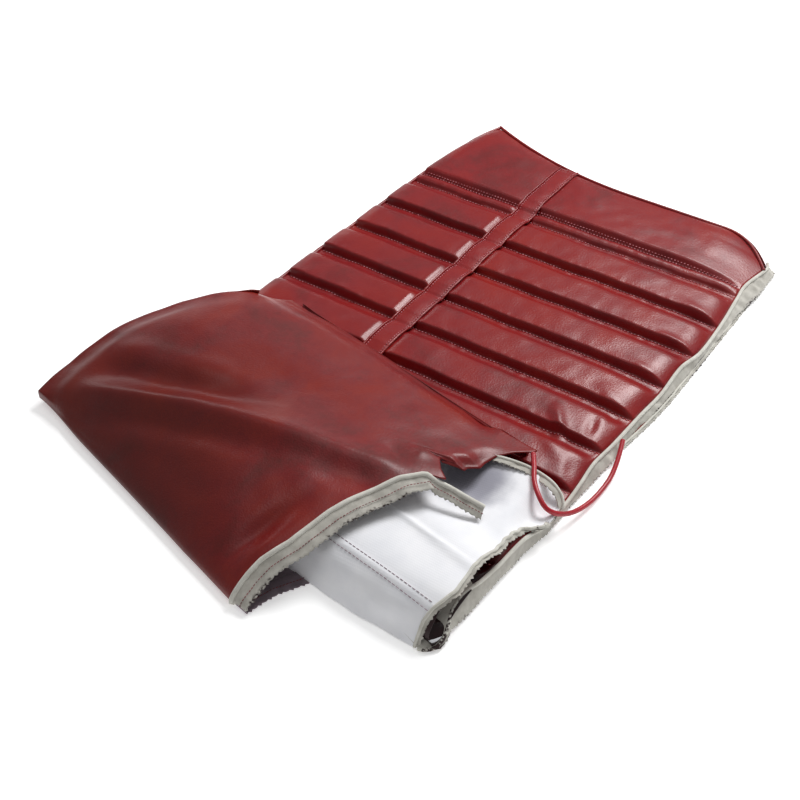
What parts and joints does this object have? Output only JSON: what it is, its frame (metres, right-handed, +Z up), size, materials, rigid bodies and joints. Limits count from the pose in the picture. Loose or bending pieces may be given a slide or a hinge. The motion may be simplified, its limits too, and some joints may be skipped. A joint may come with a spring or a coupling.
{
  "type": "seat back cover",
  "caption": "Fluted red vinyl seat back cover with white lining, trim band, piping and a bound mouth, lying folded once across its width.",
  "frame": {"origin": "on the plain back panel's underside, where the cover rests on a table, near the middle of the folded cover", "axes": "+Z up, away from the table; +X along the cover's folded length towards its open end; +Y towards the closed long edge, so the bound mouth faces -Y"},
  "size_m": [0.9445, 0.6139, 0.0804],
  "materials": {
    "back_vinyl": "satin",
    "front_vinyl": "satin",
    "piping": "satin",
    "lining_cloth": "matt",
    "foam": "matt",
    "binding": "matt"
  },
  "bodies": {
    "root": {"back_panel_base": "back_vinyl", "back_panel_fold": "back_vinyl", "pleated_face_base": "front_vinyl", "bolster_face_right": "front_vinyl", "face_fold": "front_vinyl", "end_boxing_right": "front_vinyl", "top_boxing_base": "front_vinyl", "trim_band": "front_vinyl", "trim_band_cord_upper": "front_vinyl", "trim_band_cord_lower": "front_vinyl", "end_piping_right": "piping", "top_piping": "piping", "backing_cloth_base": "lining_cloth", "lining_fold": "lining_cloth", "strip_foam_right": "foam", "bolster_foam_right": "foam", "flute_foam_01": "foam", "flute_foam_02": "foam", "flute_foam_03": "foam", "flute_foam_04": "foam", "flute_foam_05": "foam", "flute_foam_06": "foam", "flute_foam_07": "foam", "flute_foam_08": "foam", "flute_foam_09": "foam", "listing_back_base": "binding", "listing_front_base": "binding"},
    "flap": {"pleated_face_flap": "front_vinyl", "bolster_face_left": "front_vinyl", "backing_cloth_flap": "lining_cloth", "flute_foam_10": "foam", "flute_foam_11": "foam", "strip_foam_left": "foam", "bolster_foam_left": "foam", "back_panel_flap": "back_vinyl", "end_boxing_left": "front_vinyl", "end_piping_left": "piping", "top_boxing_flap": "front_vinyl", "listing_back_flap": "binding", "listing_front_flap": "binding", "listing_end_left": "binding", "piping_tail": "piping"}
  },
  "joints": [
    {"name": "fold_opening", "type": "hinge", "parent": "root", "child": "flap", "pos_m": [-0.3775, 0, 0.03], "axis": [-0.1392, -0.9903, 0], "range_deg": [0, 70], "deforming": ["face_fold", "lining_fold", "back_panel_fold"]}
  ]
}
